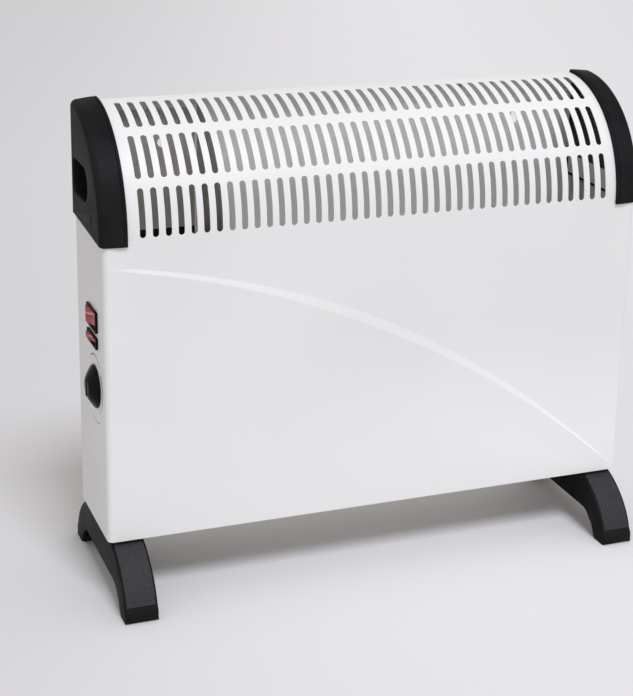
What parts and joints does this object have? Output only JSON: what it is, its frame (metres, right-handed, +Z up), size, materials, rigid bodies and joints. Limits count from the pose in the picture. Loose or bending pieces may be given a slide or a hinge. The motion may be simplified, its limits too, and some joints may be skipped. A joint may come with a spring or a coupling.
{
  "type": "convector heater",
  "caption": "Free-standing convector heater: white sheet casing with a curved slotted top grille, black end caps, side knob and rocker switches, on two arched feet.",
  "frame": {"origin": "on the floor, midway between the feet and midway between the front and rear toes: the bottom centre of the bounding box to within 3.5 mm, because the knob stands out at one end only", "axes": "+Z up, -Y is the slotted front, -X is the end with the controls"},
  "size_m": [0.536, 0.194, 0.451],
  "materials": {
    "casing_white": "fine textured powder coat",
    "grille_white": "fine textured powder coat",
    "back_white": "fine textured powder coat",
    "cap_black": "satin moulded",
    "foot_grey": "leather-grain moulded",
    "knob_black": "satin moulded",
    "bezel_black": "satin moulded",
    "rocker_red": "clear red, glossy",
    "galvanised": "galvanised, dull",
    "screw_zinc": "bright zinc",
    "mica": "matt mica board",
    "resistance_wire": "dull oxidised",
    "nylon_cream": "matt moulded",
    "wire_brown": "insulation",
    "wire_blue": "insulation",
    "wire_green": "insulation",
    "wire_white": "insulation"
  },
  "bodies": {
    "heater": {"front_panel": "casing_white", "top_grille": "grille_white", "back_panel": "back_white", "base_pan": "galvanised", "end_plate_left": "galvanised", "end_plate_right": "galvanised", "control_divider": "galvanised", "heat_shield_front": "galvanised", "heat_shield_rear": "galvanised", "end_cap_left": "cap_black", "end_cap_right": "cap_black", "foot_left": "foot_grey", "foot_right": "foot_grey", "foot_screw_1": "screw_zinc", "foot_screw_2": "screw_zinc", "foot_screw_3": "screw_zinc", "foot_screw_4": "screw_zinc", "back_screw_1": "screw_zinc", "back_screw_2": "screw_zinc", "back_screw_3": "screw_zinc", "back_screw_4": "screw_zinc", "back_screw_5": "screw_zinc", "back_screw_6": "screw_zinc", "back_screw_7": "screw_zinc", "back_screw_8": "screw_zinc", "thermal_cutout": "screw_zinc", "mica_support_1": "mica", "mica_support_2": "mica", "mica_support_3": "mica", "element_lower": "resistance_wire", "element_upper": "resistance_wire", "thermostat_body": "nylon_cream", "terminal_block": "nylon_cream", "switch_housing_upper": "bezel_black", "switch_housing_lower": "bezel_black", "cord_gland": "bezel_black", "wire_live": "wire_brown", "wire_neutral": "wire_blue", "wire_earth": "wire_green", "wire_element": "wire_white"},
    "thermostat_dial": {"thermostat_knob": "knob_black", "thermostat_shaft": "screw_zinc"},
    "rocker_upper": {"rocker_upper": "rocker_red"},
    "rocker_lower": {"rocker_lower": "rocker_red"}
  },
  "joints": [
    {"name": "knob_turn", "type": "hinge", "parent": "heater", "child": "thermostat_dial", "pos_m": [-0.2623, -0.014, 0.199], "axis": [-1, 0, 0], "range_deg": [-135, 135]},
    {"name": "rocker_upper_tip", "type": "hinge", "parent": "heater", "child": "rocker_upper", "pos_m": [-0.2605, -0.0095, 0.263], "axis": [0, 0, -1], "range_deg": [0, 16]},
    {"name": "rocker_lower_tip", "type": "hinge", "parent": "heater", "child": "rocker_lower", "pos_m": [-0.2605, -0.0095, 0.2432], "axis": [0, 0, -1], "range_deg": [0, 16]}
  ]
}
